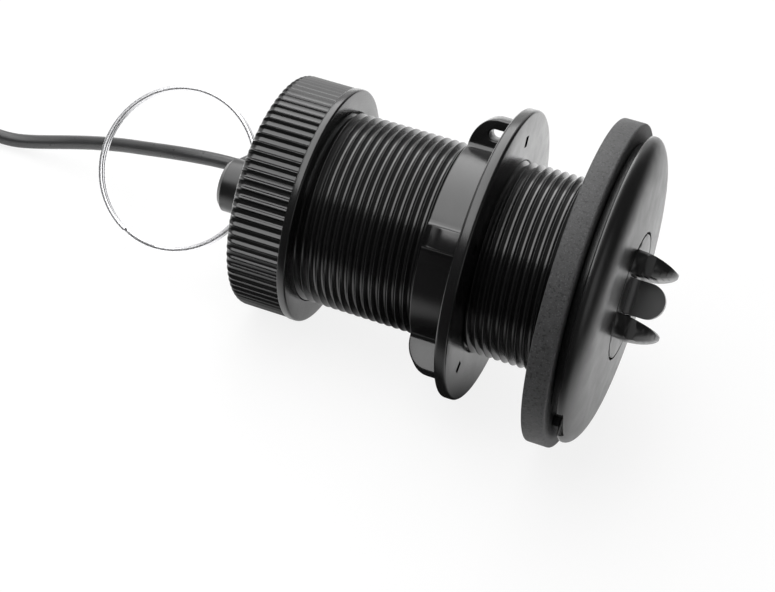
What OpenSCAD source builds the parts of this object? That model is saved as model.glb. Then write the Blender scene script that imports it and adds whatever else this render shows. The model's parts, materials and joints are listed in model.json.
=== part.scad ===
// Through-hull speed transducer: a threaded stem with a domed flange, clamped
// to the hull by a winged nut, and a paddlewheel insert held in by a knurled
// cap nut. It lies on its side, on the rims of the flange ring and the cap nut.

/* [Stem and flange] */
// Outside diameter of the stem's thread
stem_d = 42; // [40:0.5:46]
// Length of the stem, from the hull's outer face to its inboard end
stem_l = 63; // [60:1:80]
// Bore of the stem, round the valve sleeve
stem_bore = 35.2; // [34.4:0.2:36.4]
// Pitch of the stem's thread
thread_pitch = 2.1; // [1.6:0.1:3]
// Depth of the stem's thread
thread_depth = 1.1; // [0.6:0.1:1.4]
// Share of the pitch that is flat on each crest
thread_crest = 0.25; // [0.1:0.05:0.4]
// Diameter of the flange at its rim
flange_d = 66; // [60:1:72]
// Height of the flange's crown above the flange ring
flange_h = 6.7; // [6:0.1:9]
// Radius of the crown's shallow curve
crown_r = 300; // [200:10:800]
// Width of the flange's rounded shoulder
shoulder_w = 6.5; // [3:0.5:10]
// Height of the upright rim under the shoulder
rim_h = 0.5; // [0.2:0.1:1]
// Height of the groove under the flange's rim
groove_h = 1.7; // [1:0.1:2.5]
// Depth of the groove under the flange's rim
groove_depth = 1.8; // [0.5:0.1:4]
// Width of the alignment notch in the rim
notch_w = 9; // [4:0.5:14]
// Height of the alignment notch above the flange ring
notch_h = 3; // [2.6:0.1:4]
// Depth of the alignment notch, in from the rim
notch_depth = 3.4; // [2:0.2:5]
// Place of the alignment notch round the stem
notch_turn = 243; // [0:1:360]

/* [Flange ring] */
// Diameter of the ring between flange and hull
ring_d = 70; // [66:1:80]
// Thickness of the ring
ring_t = 5; // [3:0.5:8]

/* [Hull nut] */
// Diameter of the nut's disc
disc_d = 63.4; // [58:0.2:68]
// Thickness of the disc
disc_t = 2.6; // [2:0.1:4]
// Gap for the hull between the ring and the disc
hull_gap = 17.3; // [8:0.1:24]
// Wall of the nut's hub round the thread
hub_wall = 1.1; // [0.8:0.1:4]
// Length of the hub behind the disc
hub_l = 9; // [7:0.1:12]
// Number of wings round the hub
wing_count = 5; // [3:1:6]
// Thickness of a wing
wing_t = 4.4; // [3.4:0.1:6]
// Margin from the wing's outer edge to the disc's rim
wing_inset = 2.8; // [1:0.1:4]
// Length of the straight part of a wing's outer edge
wing_flat = 3.4; // [1:0.1:6]
// Place of the first wing round the stem
wing_turn = 17; // [0:1:90]
// Depth of the hollow in a wing, behind the disc
wing_hollow_l = 5.1; // [3:0.1:6]
// Width of the hollow in a wing
wing_hollow_w = 2; // [1:0.1:2.4]
// Height of the hollow in a wing, out from the stem
wing_hollow_h = 2.4; // [1.5:0.1:3]

/* [Cap nut] */
// Diameter of the cap nut over its lip
cap_d = 51.8; // [50:0.2:56]
// Length of the cap nut
cap_l = 13.9; // [12:0.1:18]
// Thickness of the cap's back wall
cap_wall = 3.1; // [2:0.1:5]
// Opening in the cap's back wall
cap_hole_d = 34; // [33:0.5:36]
// Width of the smooth lip in front of the ribs
lip_w = 1.8; // [1:0.1:3]
// Step from the lip down to the ribs' crests
lip_step = 0.2; // [0.1:0.05:0.5]
// Number of ribs round the cap
rib_count = 80; // [48:2:96]
// Height of a rib
rib_h = 0.6; // [0.3:0.1:1]
// Radius of the cap's rounded back edge
cap_round = 1.8; // [1:0.1:3]

/* [Insert] */
// Diameter of the insert's barrel
insert_d = 26.6; // [26:0.1:27.4]
// Thickness of the insert's clamped flange
collar_t = 3; // [2:0.1:3]
// Diameter of the insert's clamped flange
collar_d = 40.4; // [39:0.2:41]
// Length of the insert's head inside the stem
head_l = 11; // [8:0.5:14]
// Length of the tight nose bore behind the crown
nose_l = 10; // [9:0.5:10.5]
// Diameter of an O-ring's cord
o_ring_d = 1.6; // [1.4:0.1:1.8]
// Turn of the wheel's axle away from upright
insert_turn = 37.5; // [0:0.5:90]
// Diameter of the hollow for the circuit
hollow_d = 18.6; // [15:0.2:19]
// Radial clearance between pieces that slide together
slide_gap = 0.15; // [0.1:0.01:0.2]

/* [Paddlewheel] */
// Radius of the wheel to a paddle's tip
wheel_r = 9; // [8:0.1:9.2]
// Width of a paddle along the axle
paddle_w = 7.5; // [6:0.1:7.6]
// Thickness of a paddle
paddle_t = 2.2; // [1.8:0.1:2.6]
// Number of paddles
paddle_count = 4; // [3:1:5]
// Diameter of the wheel's hub
wheel_hub_d = 6; // [5:0.2:7]
// Depth of the axle under the crown
axle_drop = 1.8; // [1.5:0.1:2.4]
// Diameter of the axle
axle_d = 2; // [1.6:0.1:2.4]
// Radial running clearance of the wheel on its axle
axle_gap = 0.05; // [0.03:0.01:0.1]
// Width of the wheel's pocket
pocket_w = 8; // [7.8:0.1:8.4]
// Height of a fin above the crown
fin_h = 8; // [6:0.1:9]
// Thickness of a fin at its foot
fin_t = 5; // [3:0.1:5]
// Length of a fin at its foot
fin_l = 22.5; // [16:0.5:24]

/* [Cover, pull ring and cable] */
// Diameter of the insert's end cover
cover_d = 32; // [31:0.5:33]
// Thickness of the end cover
cover_t = 2; // [1.5:0.1:2.5]
// Diameter of the pull post
post_d = 12; // [10:0.2:12.6]
// Length of the pull post above the cover
post_l = 12.2; // [10:0.1:14]
// Offset of the pull post from the stem's axis
post_offset = 1.9; // [0:0.1:3]
// Distance of the pull ring's hole from the cover
ring_hole_drop = 6; // [4:0.1:8]
// Outside diameter of the pull ring
pull_ring_d = 36.9; // [30:0.1:40]
// Thickness of the pull ring's wire, which lies in two turns
wire_t = 1; // [0.8:0.05:1.1]
// Diameter of the cable
cable_d = 3.3; // [3:0.1:3.8]
// Diameter of the cable's strain relief
relief_d = 9.2; // [8:0.2:9.4]
// Length of the strain relief above the cover
relief_l = 14.3; // [10:0.1:16]

/* [Flood valve] */
// Length of the valve's sleeve
sleeve_l = 23.5; // [18:0.5:24.5]
// Wall of the valve's sleeve
sleeve_wall = 1.8; // [1.2:0.1:2]
// Diameter of the valve's rolled flap
flap_d = 24.5; // [20:0.5:25]
// Thickness of the flap
flap_t = 1.9; // [1.2:0.1:2.1]
// Diameter of the flap's hinge pin
flap_pin_d = 1.4; // [1:0.1:1.4]

/* [Hidden] */
$fn = 96;
fine_fn = 32;

BLACK = "#1c1c1d";
GREY = "#303031";
STEEL = "silver";
eps = 0.01;
// Overrun of a cut past a face
over = 1;
// Clearance of a nut's bore over the thread's crests
thread_gap = 0.08;
// Clearance between faces that turn against each other
face_gap = 0.1;

// Radii
stem_r = stem_d / 2;
root_r = stem_r - thread_depth;
bore_r = stem_bore / 2;
flange_r = flange_d / 2;
neck_r = flange_r - groove_depth;
ring_r = ring_d / 2;
disc_r = disc_d / 2;
nut_bore_r = stem_r + thread_gap;
hub_r = nut_bore_r + hub_wall;
wing_r = disc_r - wing_inset;
cap_r = cap_d / 2;
rib_r = cap_r - lip_step;
insert_r = insert_d / 2;
nose_r = insert_r + slide_gap;
head_r = bore_r - slide_gap;
collar_r = collar_d / 2;
hollow_r = hollow_d / 2;
cover_r = cover_d / 2;
post_r = post_d / 2;
axle_r = axle_d / 2;
cable_r = cable_d / 2;
relief_r = relief_d / 2;

// Places along the stem's axis, from the hull's outer face, outboard positive
rim_z = ring_t + groove_h;
crown_z = ring_t + flange_h;
nose_floor_z = crown_z - nose_l;
disc_front_z = -hull_gap;
disc_back_z = disc_front_z - disc_t;
hub_back_z = disc_back_z - hub_l;
collar_back_z = -stem_l - collar_t;
cap_seat_z = collar_back_z - face_gap;
cap_back_z = cap_seat_z - cap_wall;
cap_front_z = cap_back_z + cap_l;
cover_back_z = collar_back_z - cover_t;
post_end_z = cover_back_z - post_l;
axle_z = crown_z - axle_drop;

// The part lies on the flange ring's inboard edge and on the cap's rounded back edge
cap_edge = [cap_back_z + cap_round, rib_r - cap_round];
edge_run = norm([cap_edge[0], ring_r - cap_edge[1]]);
tilt = atan2(ring_r - cap_edge[1], -cap_edge[0]) - asin(cap_round / edge_run);
floor_z = -ring_r * cos(tilt);

// Points of an arc about c, from angle a0 to a1
function arc(c, r, a0, a1, n = 8) =
    [for (i = [0:n]) let (a = a0 + (a1 - a0) * i / n) c + r * [cos(a), sin(a)]];
// Height of the crown at radius r
function crown_at(r) = crown_z - crown_r + sqrt(crown_r * crown_r - r * r);

// Turns a lathe profile, given as radius and height, about the stem's axis
module lathe(profile) rotate_extrude() polygon(profile);

// Lays the stem's axis down as it rests, dome end to +X
module lay_down() rotate([0, 90 - tilt, 0]) children();

// Puts a shape that points along +X at a place round the stem, 0 upwards
module at_turn(turn) rotate([0, 0, 180 - turn]) children();

// The insert's own frame: +X along the axle, +Y towards the near side
module in_insert() lay_down() at_turn(insert_turn) children();

// Housing
thread_count = floor(stem_l / thread_pitch);
crest_w = thread_pitch * thread_crest;
flank_share = 0.42;
flank_w = (thread_pitch - crest_w) * flank_share;
// One ridge of the thread, rising from its root at z
function ridge(z) = [
    [root_r, z],
    [stem_r, z + flank_w],
    [stem_r, z + flank_w + crest_w],
    [root_r, z + 2 * flank_w + crest_w]
];
thread_profile = [for (i = [thread_count:-1:1]) for (p = ridge(-i * thread_pitch)) p];
shoulder_in = flange_r - shoulder_w;
shoulder_h = crown_at(shoulder_in) - rim_z - rim_h;
shoulder = [for (a = [0:10:90])
    [shoulder_in + shoulder_w * cos(a), rim_z + rim_h + shoulder_h * sin(a)]];
crown_steps = 5;
function crown_arc(r0, r1) =
    [for (i = [0:crown_steps]) let (r = r0 + (r1 - r0) * i / crown_steps) [r, crown_at(r)]];
housing_profile = concat(
    [[bore_r, -stem_l], [root_r, -stem_l]],
    thread_profile,
    [[stem_r, 0], [stem_r, ring_t], [neck_r, ring_t], [neck_r, rim_z], [flange_r, rim_z]],
    shoulder,
    crown_arc(shoulder_in - shoulder_w / 4, nose_r),
    [[nose_r, nose_floor_z], [bore_r, nose_floor_z]]
);

module housing() color(BLACK) lay_down() difference() {
    lathe(housing_profile);
    at_turn(notch_turn)
        translate([flange_r - notch_depth, -notch_w / 2, 0])
            cube([2 * notch_depth, notch_w, ring_t + notch_h]);
}

// Ring between the flange and the hull
ring_edge = 0.4;
module flange_ring() color(GREY) lay_down() lathe([
    [stem_r + slide_gap, 0],
    [ring_r, 0],
    [ring_r, ring_t - ring_edge],
    [ring_r - ring_edge, ring_t],
    [stem_r + slide_gap, ring_t]
]);

// Hull nut
disc_edge = 0.5;
wing_pitch = 360 / wing_count;
wing_outline = concat(
    [[hub_r - eps, disc_back_z + eps], [wing_r, disc_back_z + eps]],
    [for (a = [90:-10:0]) [
        hub_r - eps + (wing_r - hub_r) * sin(a),
        disc_back_z - wing_flat - (hub_l - wing_flat) * cos(a)
    ]]
);
wing_hollow_r = (hub_r + wing_r) / 2;

module hull_nut_turning() lathe([
    [nut_bore_r, disc_front_z],
    [disc_r - disc_edge, disc_front_z],
    [disc_r, disc_front_z - disc_edge],
    [disc_r, disc_back_z + disc_edge],
    [disc_r - disc_edge, disc_back_z],
    [hub_r, disc_back_z],
    [hub_r, hub_back_z],
    [nut_bore_r, hub_back_z]
]);

module wing() rotate([90, 0, 0]) linear_extrude(wing_t, center = true) polygon(wing_outline);

// The hollow of a wing, w wide, which runs from z back into the wing
module wing_hollow(w, z) {
    end_z = disc_back_z - wing_hollow_l + wing_hollow_h / 2;
    translate([wing_hollow_r, 0, end_z])
        rotate([90, 0, 0])
            cylinder(d = wing_hollow_h, h = w, center = true);
    translate([wing_hollow_r - wing_hollow_h / 2, -w / 2, end_z])
        cube([wing_hollow_h, w, z - end_z]);
}

module hull_nut() color(BLACK) lay_down() difference() {
    union() {
        hull_nut_turning();
        for (i = [0:wing_count - 1]) at_turn(wing_turn + i * wing_pitch) wing();
    }
    for (i = [0:wing_count - 1])
        at_turn(wing_turn + i * wing_pitch) wing_hollow(wing_hollow_w, disc_front_z + over);
    // The first wing's hollow goes right through, for a wire
    at_turn(wing_turn) wing_hollow(2 * wing_t, disc_back_z);
}

// Cap nut
rib_pitch = 360 / rib_count;
rib_root_r = rib_r - rib_h;
// Shares of the rib pitch at which a rib's crest and foot end
rib_crest = 0.14;
rib_foot = 0.34;
knurl_outline = [for (i = [0:rib_count - 1]) for (p = [
    [rib_r, -rib_crest], [rib_r, rib_crest], [rib_root_r, rib_foot], [rib_root_r, 1 - rib_foot]
]) let (a = (i + p[1]) * rib_pitch) p[0] * [cos(a), sin(a)]];
lip_back_z = cap_front_z - lip_w;
lip_edge = 0.4;
// The back edge's curve stands off the crests a little, so that it cuts them cleanly
rib_ease = 0.03;

module cap_envelope() lathe(concat(
    [[0, cap_back_z]],
    arc([cap_edge[1] + rib_ease, cap_edge[0]], cap_round, -90, 0),
    [[rib_r + rib_ease, lip_back_z], [cap_r, lip_back_z]],
    [[cap_r, cap_front_z - lip_edge], [cap_r - lip_edge, cap_front_z], [0, cap_front_z]]
));

module cap_inside() lathe([
    [0, cap_back_z - over],
    [cap_hole_d / 2, cap_back_z - over],
    [cap_hole_d / 2, cap_seat_z],
    [nut_bore_r, cap_seat_z],
    [nut_bore_r, cap_front_z + over],
    [0, cap_front_z + over]
]);

module cap_nut() color(BLACK) lay_down() difference() {
    intersection() {
        cap_envelope();
        union() {
            translate([0, 0, cap_back_z - over])
                linear_extrude(lip_back_z - cap_back_z + over) polygon(knurl_outline);
            translate([0, 0, lip_back_z]) cylinder(r = cap_r + lip_w, h = 2 * lip_w);
        }
    }
    cap_inside();
}

// Insert, with its grooves for O-rings, the wheel's pocket and the two fins
o_ring_r = o_ring_d / 2;
groove_ratio = 1.3;
groove_w = o_ring_d * groove_ratio;
seal_gap = 0.05;
nose_ring_low = 1.6;
nose_ring_step = 3;
nose_ring_z = [for (i = [0:1]) nose_floor_z + nose_ring_low + i * nose_ring_step];
head_front_z = -stem_l + head_l;
head_ring_z = (head_front_z - stem_l) / 2;
// Centre radius of an O-ring that just clears a bore of radius r
function ring_centre(r) = r - o_ring_r - seal_gap;
// Groove cut in a turned side of radius r at height z, for an O-ring in bore b
function groove(r, z, b) = let (floor_r = ring_centre(b) - o_ring_r - seal_gap) [
    [r, z + groove_w / 2],
    [floor_r, z + groove_w / 2],
    [floor_r, z - groove_w / 2],
    [r, z - groove_w / 2]
];
insert_profile = concat(
    crown_arc(0, insert_r),
    groove(insert_r, nose_ring_z[1], nose_r),
    groove(insert_r, nose_ring_z[0], nose_r),
    [[insert_r, head_front_z], [head_r, head_front_z]],
    groove(head_r, head_ring_z, bore_r),
    [[head_r, -stem_l], [collar_r, -stem_l], [collar_r, collar_back_z], [0, collar_back_z]]
);
pocket_gap = 0.8;
pocket_r = wheel_r + pocket_gap;
pocket_floor_t = 3;
hollow_end_z = axle_z - pocket_r - pocket_floor_t;
axle_recess = 0.6;
axle_l = 2 * (sqrt(insert_r * insert_r - axle_r * axle_r) - axle_recess);
plug_l = 4;

// Arched fin: two flanks meet in a ridge, under a bowed outline
fin_sink = 0.3;
fin_foot_z = crown_at(insert_r) - fin_sink;
fin_rise = crown_z + fin_h - fin_foot_z;
fin_inset = 0.2;
fin_x = pocket_w / 2 + fin_t / 2 + fin_inset;
flank_r = (fin_t * fin_t / 4 + fin_rise * fin_rise) / fin_t;
outline_r = (fin_l * fin_l / 4 + fin_rise * fin_rise) / (2 * fin_rise);
module fin() intersection() {
    fin_flank(1);
    fin_flank(-1);
    translate([0, 0, fin_foot_z + fin_rise - outline_r])
        rotate([0, 90, 0])
            cylinder(r = outline_r, h = 4 * fin_x, center = true);
    translate([0, 0, fin_foot_z]) cylinder(r = insert_r - fin_inset, h = 2 * fin_rise);
}
module fin_flank(side)
    translate([fin_x + side * (flank_r - fin_t / 2), 0, fin_foot_z])
        rotate([90, 0, 0])
            cylinder(r = flank_r, h = 2 * fin_l, center = true);

module insert_body() color(BLACK) in_insert() difference() {
    union() {
        lathe(insert_profile);
        fin();
        mirror([1, 0, 0]) fin();
    }
    translate([0, 0, axle_z]) rotate([0, 90, 0]) {
        cylinder(r = pocket_r, h = pocket_w, center = true);
        cylinder(r = axle_r + axle_gap / 2, h = 2 * insert_d, center = true);
    }
    translate([0, 0, collar_back_z - over])
        cylinder(r = hollow_r, h = hollow_end_z - collar_back_z + over);
}

module o_ring(z, b) translate([0, 0, z])
    rotate_extrude() translate([ring_centre(b), 0]) circle(r = o_ring_r, $fn = fine_fn);

module nose_o_rings() color(BLACK) lay_down() for (z = nose_ring_z) o_ring(z, nose_r);

module head_o_ring() color(BLACK) lay_down() o_ring(head_ring_z, bore_r);

// Paddlewheel on its axle, one paddle pointing outboard
tip_r = paddle_w / 2;
magnet_r = 1.2;
magnet_t = 1.2;
magnet_gap = 0.03;
magnet_share = 0.66;
magnet_at = wheel_r * magnet_share;
module paddle() rotate([90, 0, 0]) linear_extrude(paddle_t, center = true) {
    translate([-paddle_w / 2, 0]) square([paddle_w, wheel_r - tip_r]);
    translate([0, wheel_r - tip_r]) circle(r = tip_r);
}

module each_paddle() translate([0, 0, axle_z])
    for (i = [0:paddle_count - 1]) rotate([i * 360 / paddle_count, 0, 0]) children();

module paddlewheel() color(BLACK) in_insert() difference() {
    union() {
        each_paddle() paddle();
        translate([0, 0, axle_z])
            rotate([0, 90, 0])
                cylinder(d = wheel_hub_d, h = paddle_w, center = true);
    }
    translate([0, 0, axle_z]) rotate([0, 90, 0])
        cylinder(r = axle_r + axle_gap, h = 2 * paddle_w, center = true);
    each_paddle() magnet(magnet_gap);
}

module magnet(gap) translate([0, 0, magnet_at]) rotate([90, 0, 0])
    cylinder(r = magnet_r + gap, h = magnet_t + 2 * gap, center = true, $fn = fine_fn);

module wheel_magnets() color(STEEL) in_insert() each_paddle() magnet(0);

module wheel_axle() color(STEEL) in_insert()
    translate([0, 0, axle_z]) rotate([0, 90, 0]) cylinder(r = axle_r, h = axle_l, center = true);

// Circuit inside the insert
board_w = 12;
board_t = 1.6;
board_l = 42;
sensor_w = 4;
sensor_t = 1.6;
sensor_l = 3.2;
board_gap = 0.6;
board_end_z = hollow_end_z - board_gap;
plug_end_z = collar_back_z + plug_l;
module board() translate([-board_w / 2, -board_t / 2, board_end_z - board_l])
    cube([board_w, board_t, board_l]);

// The sensor's block, sunk into the board by the given depth
module sensor(sink) translate([-sensor_w / 2, board_t / 2 - sink, board_end_z - sensor_l])
    cube([sensor_w, sensor_t + sink, sensor_l]);

module circuit_board() color("darkgreen") in_insert() board();

module speed_sensor() color(BLACK) in_insert() sensor(0);

module potting() color(GREY) in_insert() difference() {
    translate([0, 0, plug_end_z]) cylinder(r = hollow_r - eps, h = hollow_end_z - plug_end_z - eps);
    board();
    sensor(eps);
}

// End cover with the pull post, whose cross hole flares so that the ring can swing
ring_mean_r = (pull_ring_d - wire_t) / 2;
ring_hole_z = cover_back_z - ring_hole_drop;
ring_hole_r = 1.5 * wire_t;
flare_ease = 0.4;
flare_r = ring_hole_r + post_r * post_r / (2 * ring_mean_r) + flare_ease;
post_edge = 1;
module pull_post() translate([-post_offset, 0, 0]) difference() {
    lathe([
        [0, cover_back_z + eps],
        [post_r, cover_back_z + eps],
        [post_r, post_end_z + post_edge],
        [post_r - post_edge, post_end_z],
        [0, post_end_z]
    ]);
    translate([0, 0, ring_hole_z]) rotate([0, 90, 0]) {
        cylinder(r = ring_hole_r, h = 2 * post_d, center = true);
        for (side = [0, 180]) rotate([0, side, 0]) translate([0, 0, post_r / 3])
            cylinder(r1 = ring_hole_r, r2 = flare_r, h = post_r);
    }
}

module end_cover() color(BLACK) in_insert() {
    lathe([
        [0, plug_end_z],
        [hollow_r - slide_gap, plug_end_z],
        [hollow_r - slide_gap, collar_back_z],
        [cover_r, collar_back_z],
        [cover_r, cover_back_z],
        [0, cover_back_z]
    ]);
    pull_post();
}

// Split ring of two turns
module pull_ring() color(STEEL) in_insert()
    translate([-post_offset, 0, ring_hole_z - ring_mean_r])
        rotate([90, 0, 0])
            rotate_extrude() translate([ring_mean_r, 0]) square([wire_t, 2 * wire_t], center = true);

// Strain relief on the cover, behind the post
relief_x = 2.9;
relief_y = -10;
relief_end_z = cover_back_z - relief_l;
relief_cone = 3.4;
relief_lip = 0.3;
module strain_relief() color(BLACK) in_insert() translate([relief_x, relief_y, 0]) lathe([
    [0, cover_back_z],
    [relief_r, cover_back_z],
    [relief_r, relief_end_z + relief_cone],
    [cable_r + relief_lip, relief_end_z],
    [0, relief_end_z]
]);

// Flood valve, held open by the insert: a sleeve, a rolled flap and its hinge pin
valve_turn = 200;
sleeve_r = bore_r - slide_gap;
sleeve_in_r = sleeve_r - sleeve_wall;
sleeve_end_z = nose_floor_z - sleeve_l;
hinge_drop = 1.4;
hinge_z = sleeve_end_z - hinge_drop;
hinge_inset = 1.75;
hinge_x = bore_r - hinge_inset;
pin_gap = 0.02;
knuckle_wall = 0.6;
knuckle_r = flap_pin_d / 2 + knuckle_wall;
knuckle_w = 6.4;
ear_w = 1.5;
ear_h = 10;
pin_overhang = 0.3;
pin_l = knuckle_w + 2 * (ear_w + pin_overhang);
flap_gap = 0.5;
flap_in_r = insert_r + flap_gap;
flap_drop = 2.6;
flap_z = hinge_z - flap_drop - flap_d / 2;
arm_h = 4;
arm_x = flap_in_r + knuckle_wall;

module tube(r_in, r_out, z0, z1) difference() {
    translate([0, 0, z0]) cylinder(r = r_out, h = z1 - z0);
    translate([0, 0, z0 - over]) cylinder(r = r_in, h = z1 - z0 + 2 * over);
}

// A rod of radius r and length l on the hinge's axis
module hinge_rod(r, l) translate([hinge_x, 0, hinge_z])
    rotate([90, 0, 0])
        cylinder(r = r, h = l, center = true, $fn = fine_fn);

module valve_sleeve() color(BLACK) lay_down() at_turn(valve_turn) difference() {
    union() {
        tube(sleeve_in_r, sleeve_r, sleeve_end_z, nose_floor_z - face_gap);
        for (side = [-1, 1]) intersection() {
            tube(sleeve_in_r, sleeve_r, hinge_z - knuckle_r, sleeve_end_z + eps);
            translate([sleeve_r, side * ((knuckle_w + ear_w) / 2 + face_gap), hinge_z])
                cube([sleeve_r, ear_w, ear_h], center = true);
        }
    }
    hinge_rod(flap_pin_d / 2 + pin_gap, stem_d);
}

module valve_flap() color(BLACK) lay_down() at_turn(valve_turn) difference() {
    union() {
        intersection() {
            tube(flap_in_r, flap_in_r + flap_t, flap_z - flap_d, flap_z + flap_d);
            translate([0, 0, flap_z]) rotate([0, 90, 0]) cylinder(d = flap_d, h = stem_d);
        }
        hinge_rod(knuckle_r, knuckle_w);
        translate([arm_x, -knuckle_w / 2, hinge_z - arm_h]) cube([hinge_x - arm_x, knuckle_w, arm_h]);
    }
    hinge_rod(flap_pin_d / 2 + 2 * pin_gap, stem_d);
}

module flap_pin() color(STEEL) lay_down() at_turn(valve_turn) hinge_rod(flap_pin_d / 2, pin_l);

// Cable: points along its free run and its tail, as X, Y and height above the floor
cable_run = [
    [-79, 9.7, 20], [-82, 9.7, 19.6], [-86, 9.5, 19], [-91, 9.3, 17.9], [-97, 9.3, 16.2],
    [-103, 9.8, 14], [-110, 10.4, 11.4], [-117, 10.7, 8.5], [-123, 10.3, 6.1], [-128, 9.4, 4.3],
    [-132, 8.6, 3], [-136, 7.8, 2.1], [-141, 7.2, 1.8], [-147, 7.2, 1.7], [-153, 8.1, 1.7],
    [-159, 9.6, 1.8], [-165, 11.2, 2], [-171, 12.1, 2.2], [-176, 12.4, 2.3]
];
cable_tail_run = [
    [-176, 12.4, 18.8], [-181, 11.8, 19.4], [-186, 9.8, 21.2], [-190.5, 6.5, 23.4],
    [-194, 2, 25.4], [-195.6, -2.5, 26.9], [-196, -7, 27.6], [-196, -10, 27.6]
];
coil_x = -176;
coil_y = -20;
coil_out_r = 34;
coil_in_r = 10.9;
coil_low = 0.6;
coil_h = 20;
coil_round = 2;
tie_turn = 300;
tie_t = 0.6;
tie_w = 8;
tie_in = sqrt(coil_in_r * coil_in_r - tie_w * tie_w / 4);
sides = 8;

function unit(v) = v / norm(v);
function heading(run, i) = unit(run[min(i + 1, len(run) - 1)] - run[max(i - 1, 0)]);
// Ring of points about the run's point i
function run_ring(run, i) = let (
    ahead = heading(run, i),
    across = unit(cross(ahead, [0, 0, 1])),
    over = cross(across, ahead)
) [for (k = [0:sides - 1]) let (a = 360 * (k + 0.5) / sides)
    run[i] + [0, 0, floor_z] + cable_r * (cos(a) * across + sin(a) * over)];

module cable_along(run) {
    rings = len(run);
    points = [for (i = [0:rings - 1]) each run_ring(run, i)];
    walls = [for (i = [0:rings - 2]) for (k = [0:sides - 1]) let (
        a = i * sides + k,
        b = i * sides + (k + 1) % sides
    ) each [[a, b, a + sides], [b, b + sides, a + sides]]];
    start = [for (k = [sides - 1:-1:0]) k];
    end = [for (k = [0:sides - 1]) (rings - 1) * sides + k];
    polyhedron(points, concat(walls, [start, end]));
}

module cable_tube() color(BLACK) cable_along(cable_run);

module cable_tail() color(BLACK) cable_along(cable_tail_run);

module cable_coil() color(BLACK) translate([coil_x, coil_y, floor_z + coil_low]) lathe(concat(
    arc([coil_in_r + coil_round, coil_round], coil_round, 180, 270),
    arc([coil_out_r - coil_round, coil_round], coil_round, 270, 360),
    arc([coil_out_r - coil_round, coil_h - coil_round], coil_round, 0, 90),
    arc([coil_in_r + coil_round, coil_h - coil_round], coil_round, 90, 180)
));

module coil_tie() color(GREY) translate([coil_x, coil_y, floor_z]) rotate([0, 0, tie_turn]) difference() {
    translate([tie_in - tie_t, -tie_w / 2, 0])
        cube([coil_out_r - tie_in + 2 * tie_t, tie_w, coil_h + coil_low + tie_t]);
    translate([tie_in, -tie_w, coil_low]) cube([coil_out_r - tie_in, 2 * tie_w, coil_h]);
}

// Plug at the cable's end: a boot, a ribbed grip and a shell round the contacts
plug_r = 7;
shell_r = 5.6;
shell_in_r = 4.7;
boot_l = 10;
grip_l = 17;
shell_l = 9;
contact_count = 3;
contact_r = 0.75;
contact_l = 7;
contact_circle = 2.4;
plug_start = cable_tail_run[len(cable_tail_run) - 1] + [0, 0, floor_z];
module at_plug() translate(plug_start) rotate([90, 0, 0]) children();
boot_lip = 0.5;
boot_taper = 1.6;
grip_step = 1.4;
row_count = 5;
row_start = 3.4;
row_step = 2.6;
row_w = 1.2;
row_depth = 0.6;
grip_end = boot_l + grip_l;
plug_end = grip_end + shell_l;
// One groove round the grip, at z
function grip_row(z) = [
    [plug_r, z - row_w / 2],
    [plug_r - row_depth, z - row_w / 4],
    [plug_r - row_depth, z + row_w / 4],
    [plug_r, z + row_w / 2]
];
grip_profile = concat(
    [[0, 0], [cable_r + boot_lip, 0], [plug_r - boot_taper, boot_l], [plug_r, boot_l + grip_step]],
    [for (i = [0:row_count - 1]) each grip_row(boot_l + row_start + i * row_step)],
    [[plug_r, grip_end], [shell_r, grip_end], [shell_r, plug_end]],
    [[shell_in_r, plug_end], [shell_in_r, grip_end], [0, grip_end]]
);
module connector_body() color(BLACK) at_plug() lathe(grip_profile);

module contact_pins() color("goldenrod") at_plug()
    for (i = [0:contact_count - 1]) rotate([0, 0, i * 360 / contact_count])
        translate([contact_circle, 0, grip_end]) cylinder(r = contact_r, h = contact_l, $fn = fine_fn);

housing();
flange_ring();
hull_nut();
cap_nut();
insert_body();
end_cover();
nose_o_rings();
head_o_ring();
valve_sleeve();
valve_flap();
flap_pin();
paddlewheel();
wheel_axle();
wheel_magnets();
circuit_board();
speed_sensor();
potting();
strain_relief();
pull_ring();
cable_tube();
cable_coil();
coil_tie();
cable_tail();
connector_body();
contact_pins();
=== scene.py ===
"""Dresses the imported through-hull transducer: moulded plastic, a wire ring and a coiled cable."""

import json
import math

import bmesh
import bpy
from mathutils import Matrix, Vector


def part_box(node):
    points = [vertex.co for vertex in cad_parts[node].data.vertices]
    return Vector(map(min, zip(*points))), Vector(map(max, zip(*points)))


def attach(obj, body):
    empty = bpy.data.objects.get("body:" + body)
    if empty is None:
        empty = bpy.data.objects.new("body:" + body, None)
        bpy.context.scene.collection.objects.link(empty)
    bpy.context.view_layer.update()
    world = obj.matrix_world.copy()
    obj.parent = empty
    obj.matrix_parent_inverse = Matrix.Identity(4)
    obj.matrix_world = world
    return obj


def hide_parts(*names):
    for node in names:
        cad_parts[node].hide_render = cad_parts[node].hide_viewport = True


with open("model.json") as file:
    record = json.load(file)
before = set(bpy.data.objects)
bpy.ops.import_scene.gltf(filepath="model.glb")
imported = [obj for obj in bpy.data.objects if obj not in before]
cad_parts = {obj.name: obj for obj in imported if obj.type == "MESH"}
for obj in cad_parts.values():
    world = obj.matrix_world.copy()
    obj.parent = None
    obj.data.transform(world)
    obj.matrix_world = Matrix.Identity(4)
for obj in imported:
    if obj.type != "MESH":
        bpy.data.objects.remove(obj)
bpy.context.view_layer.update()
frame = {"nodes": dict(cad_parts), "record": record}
nodes = frame["nodes"]
joints = {joint["name"]: joint for joint in frame["record"]["behaviour"]["joints"]}

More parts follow.
